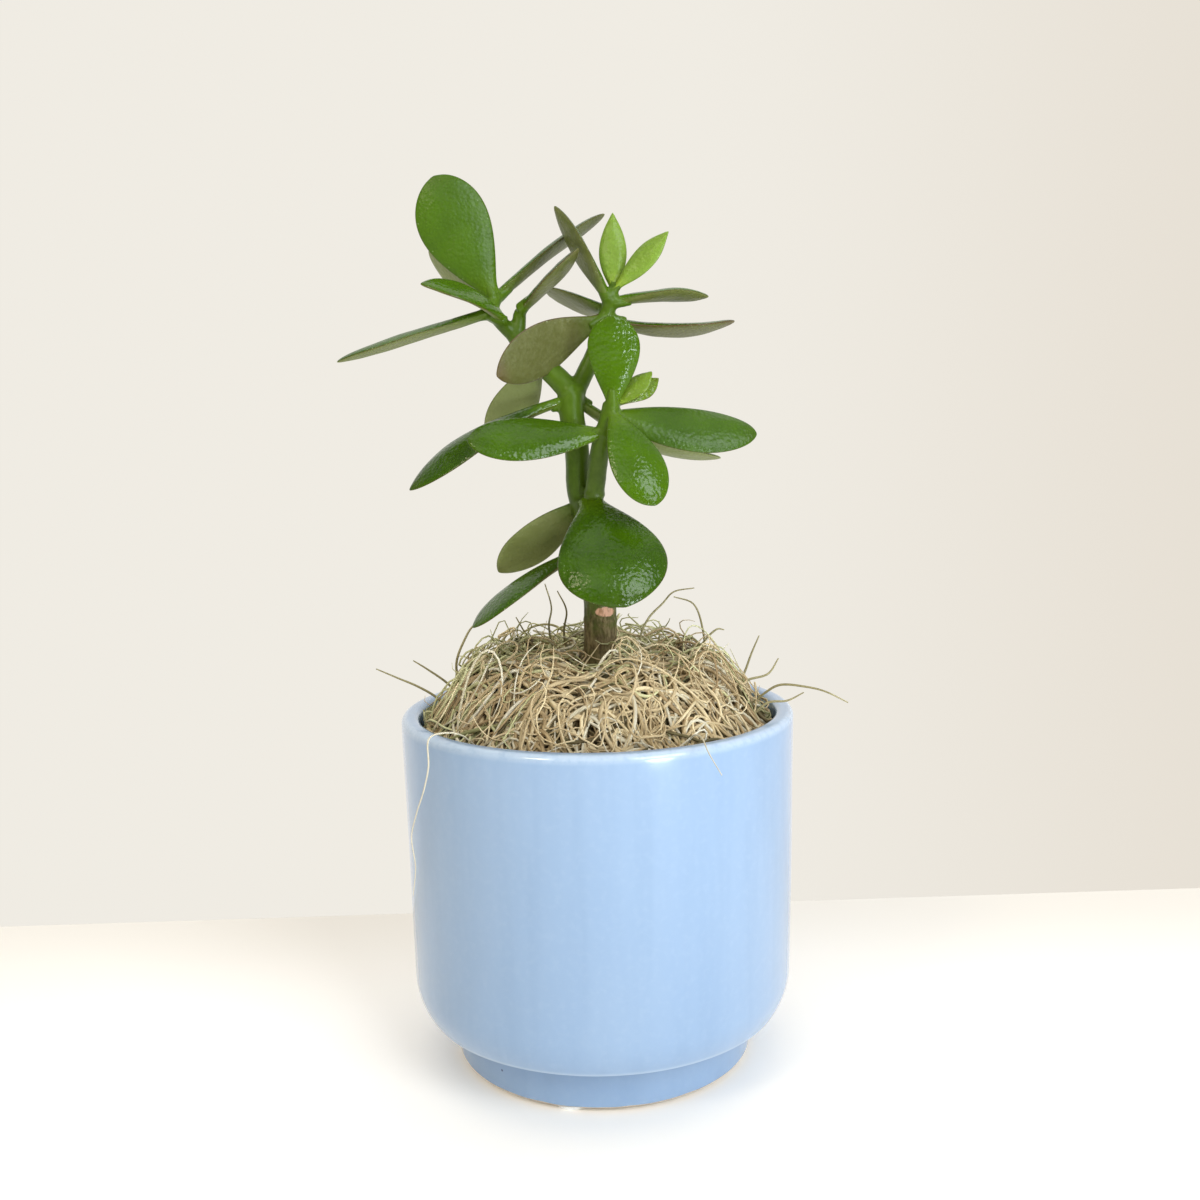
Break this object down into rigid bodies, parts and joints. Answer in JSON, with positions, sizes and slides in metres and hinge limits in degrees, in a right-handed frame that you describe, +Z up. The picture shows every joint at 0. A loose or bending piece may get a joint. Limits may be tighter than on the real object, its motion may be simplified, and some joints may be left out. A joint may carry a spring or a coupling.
{
  "type": "potted jade plant",
  "caption": "Jade plant with thick spoon-shaped leaves on forked green stems, in a light blue glazed pot with a stepped foot, its soil dressed with curly moss.",
  "frame": {"origin": "on the pot's axis, in the plane of the pads' undersides", "axes": "+Z up along the pot's axis, +X to the picture's right, +Y away from the camera"},
  "size_m": [0.1619, 0.1389, 0.2918],
  "materials": {
    "pale_blue_glaze": "glossy light blue glaze, bare cream clay at the foot's edge",
    "white_pad": "matt white",
    "dark_soil": "rough, crumbly",
    "dried_moss": "dry fibres, tan to grey-green",
    "green_stem": "waxy green, brown and corky near the soil",
    "leaf_green": "waxy gloss, fine pebbled skin, reddish margin",
    "young_leaf_green": "soft gloss, light yellow-green"
  },
  "bodies": {
    "root": {"dressing_moss": "dried_moss", "foot_pad_1": "white_pad", "foot_pad_2": "white_pad", "foot_pad_3": "white_pad", "leaf_bud_right": "young_leaf_green", "leaf_bud_upright": "young_leaf_green", "leaf_crown_front_turned": "leaf_green", "leaf_crown_left_back": "leaf_green", "leaf_crown_left_inner": "leaf_green", "leaf_crown_left_long": "leaf_green", "leaf_crown_left_rear": "leaf_green", "leaf_crown_left_small": "leaf_green", "leaf_crown_left_upright": "leaf_green", "leaf_crown_right_back": "leaf_green", "leaf_crown_right_flat": "leaf_green", "leaf_crown_right_low": "leaf_green", "leaf_crown_right_steep": "leaf_green", "leaf_front_hanging": "leaf_green", "leaf_low_front": "leaf_green", "leaf_low_left": "leaf_green", "leaf_low_left_rear": "leaf_green", "leaf_middle_left_broad": "leaf_green", "leaf_middle_left_long": "leaf_green", "leaf_middle_rear_turned": "leaf_green", "leaf_middle_right_broad": "leaf_green", "leaf_middle_right_rear": "leaf_green", "leaf_middle_upright": "leaf_green", "leaf_young_back": "young_leaf_green", "leaf_young_front": "young_leaf_green", "pot": "pale_blue_glaze", "potting_soil": "dark_soil", "stem": "green_stem"}
  },
  "joints": []
}
